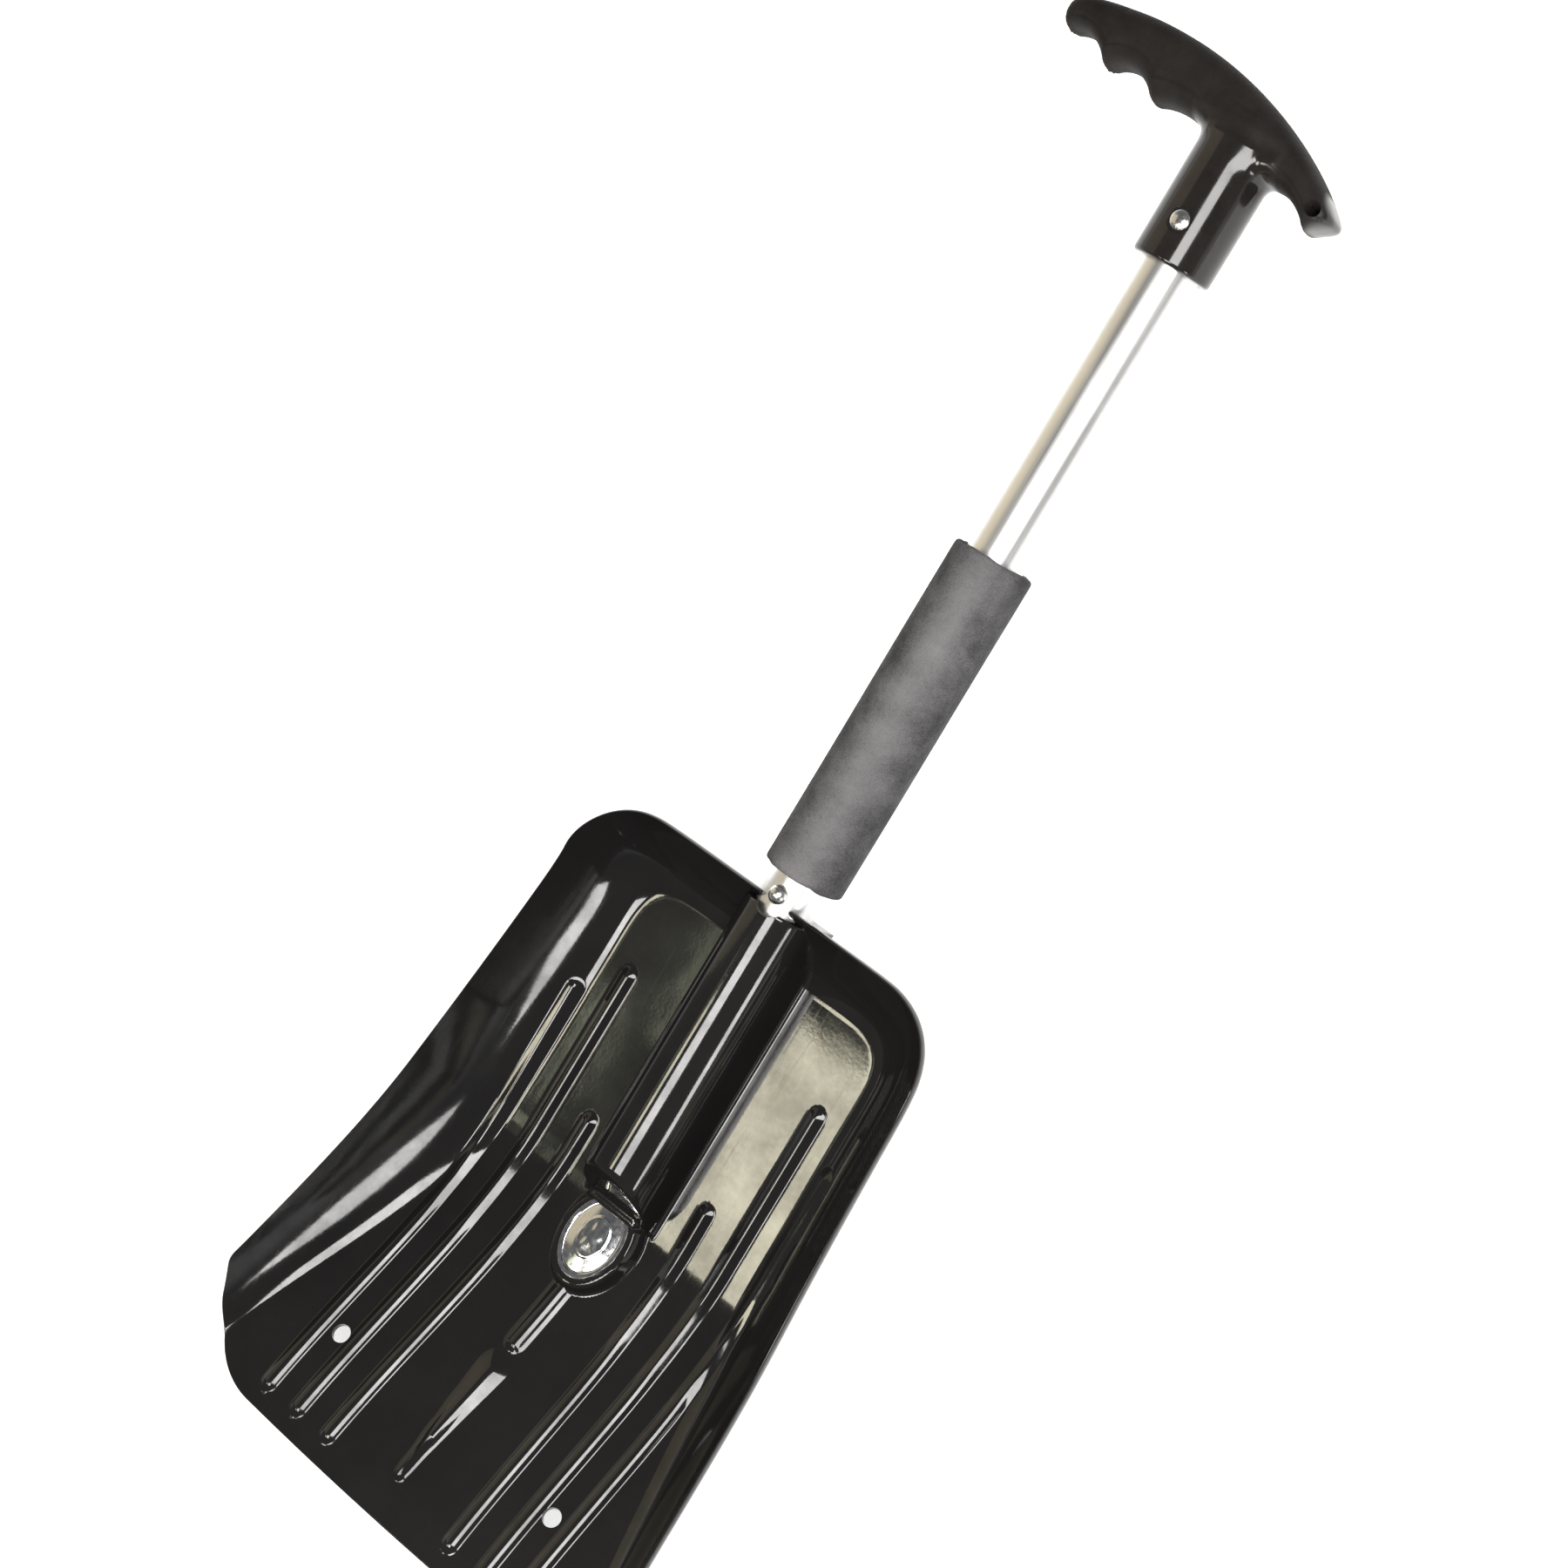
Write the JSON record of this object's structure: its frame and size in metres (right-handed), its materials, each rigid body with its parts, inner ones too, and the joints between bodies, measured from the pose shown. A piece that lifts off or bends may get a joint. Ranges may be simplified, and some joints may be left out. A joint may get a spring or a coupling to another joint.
{
  "type": "camp shovel",
  "caption": "Compact snow and camp shovel: moulded scoop blade, pull-out tube handle with foam sleeve, T-grip with finger grooves and a snap button.",
  "frame": {"origin": "middle of the shovel's length and width, on the plane that the blade's back rests on", "axes": "+Y along the shaft from the blade towards the grip, +Z out of the blade's hollow face"},
  "size_m": [0.226, 0.6654, 0.0692],
  "materials": {
    "blade_plastic": "gloss",
    "badge_metal": "satin",
    "tube_metal": "polished",
    "foam": "matte",
    "grip_plastic": "satin",
    "fastener_steel": "satin"
  },
  "bodies": {
    "blade": {"blade": "blade_plastic", "badge": "badge_metal"},
    "handle": {"shaft_tube": "tube_metal", "foam_sleeve": "foam", "t_grip": "grip_plastic", "grip_rivet": "fastener_steel", "rivet_washer": "fastener_steel", "lock_spring": "fastener_steel"},
    "button": {"lock_button": "fastener_steel"}
  },
  "joints": [
    {"name": "handle_pull", "type": "slide", "parent": "blade", "child": "handle", "axis": [0, 1, 0], "range_m": [0, 0.13]},
    {"name": "lock_button_press", "type": "slide", "parent": "handle", "child": "button", "axis": [0, 0, -1], "range_m": [0, 0.004], "stiffness_N_per_m": 1000, "springref_m": -0.002, "deforming": ["lock_spring"]}
  ]
}
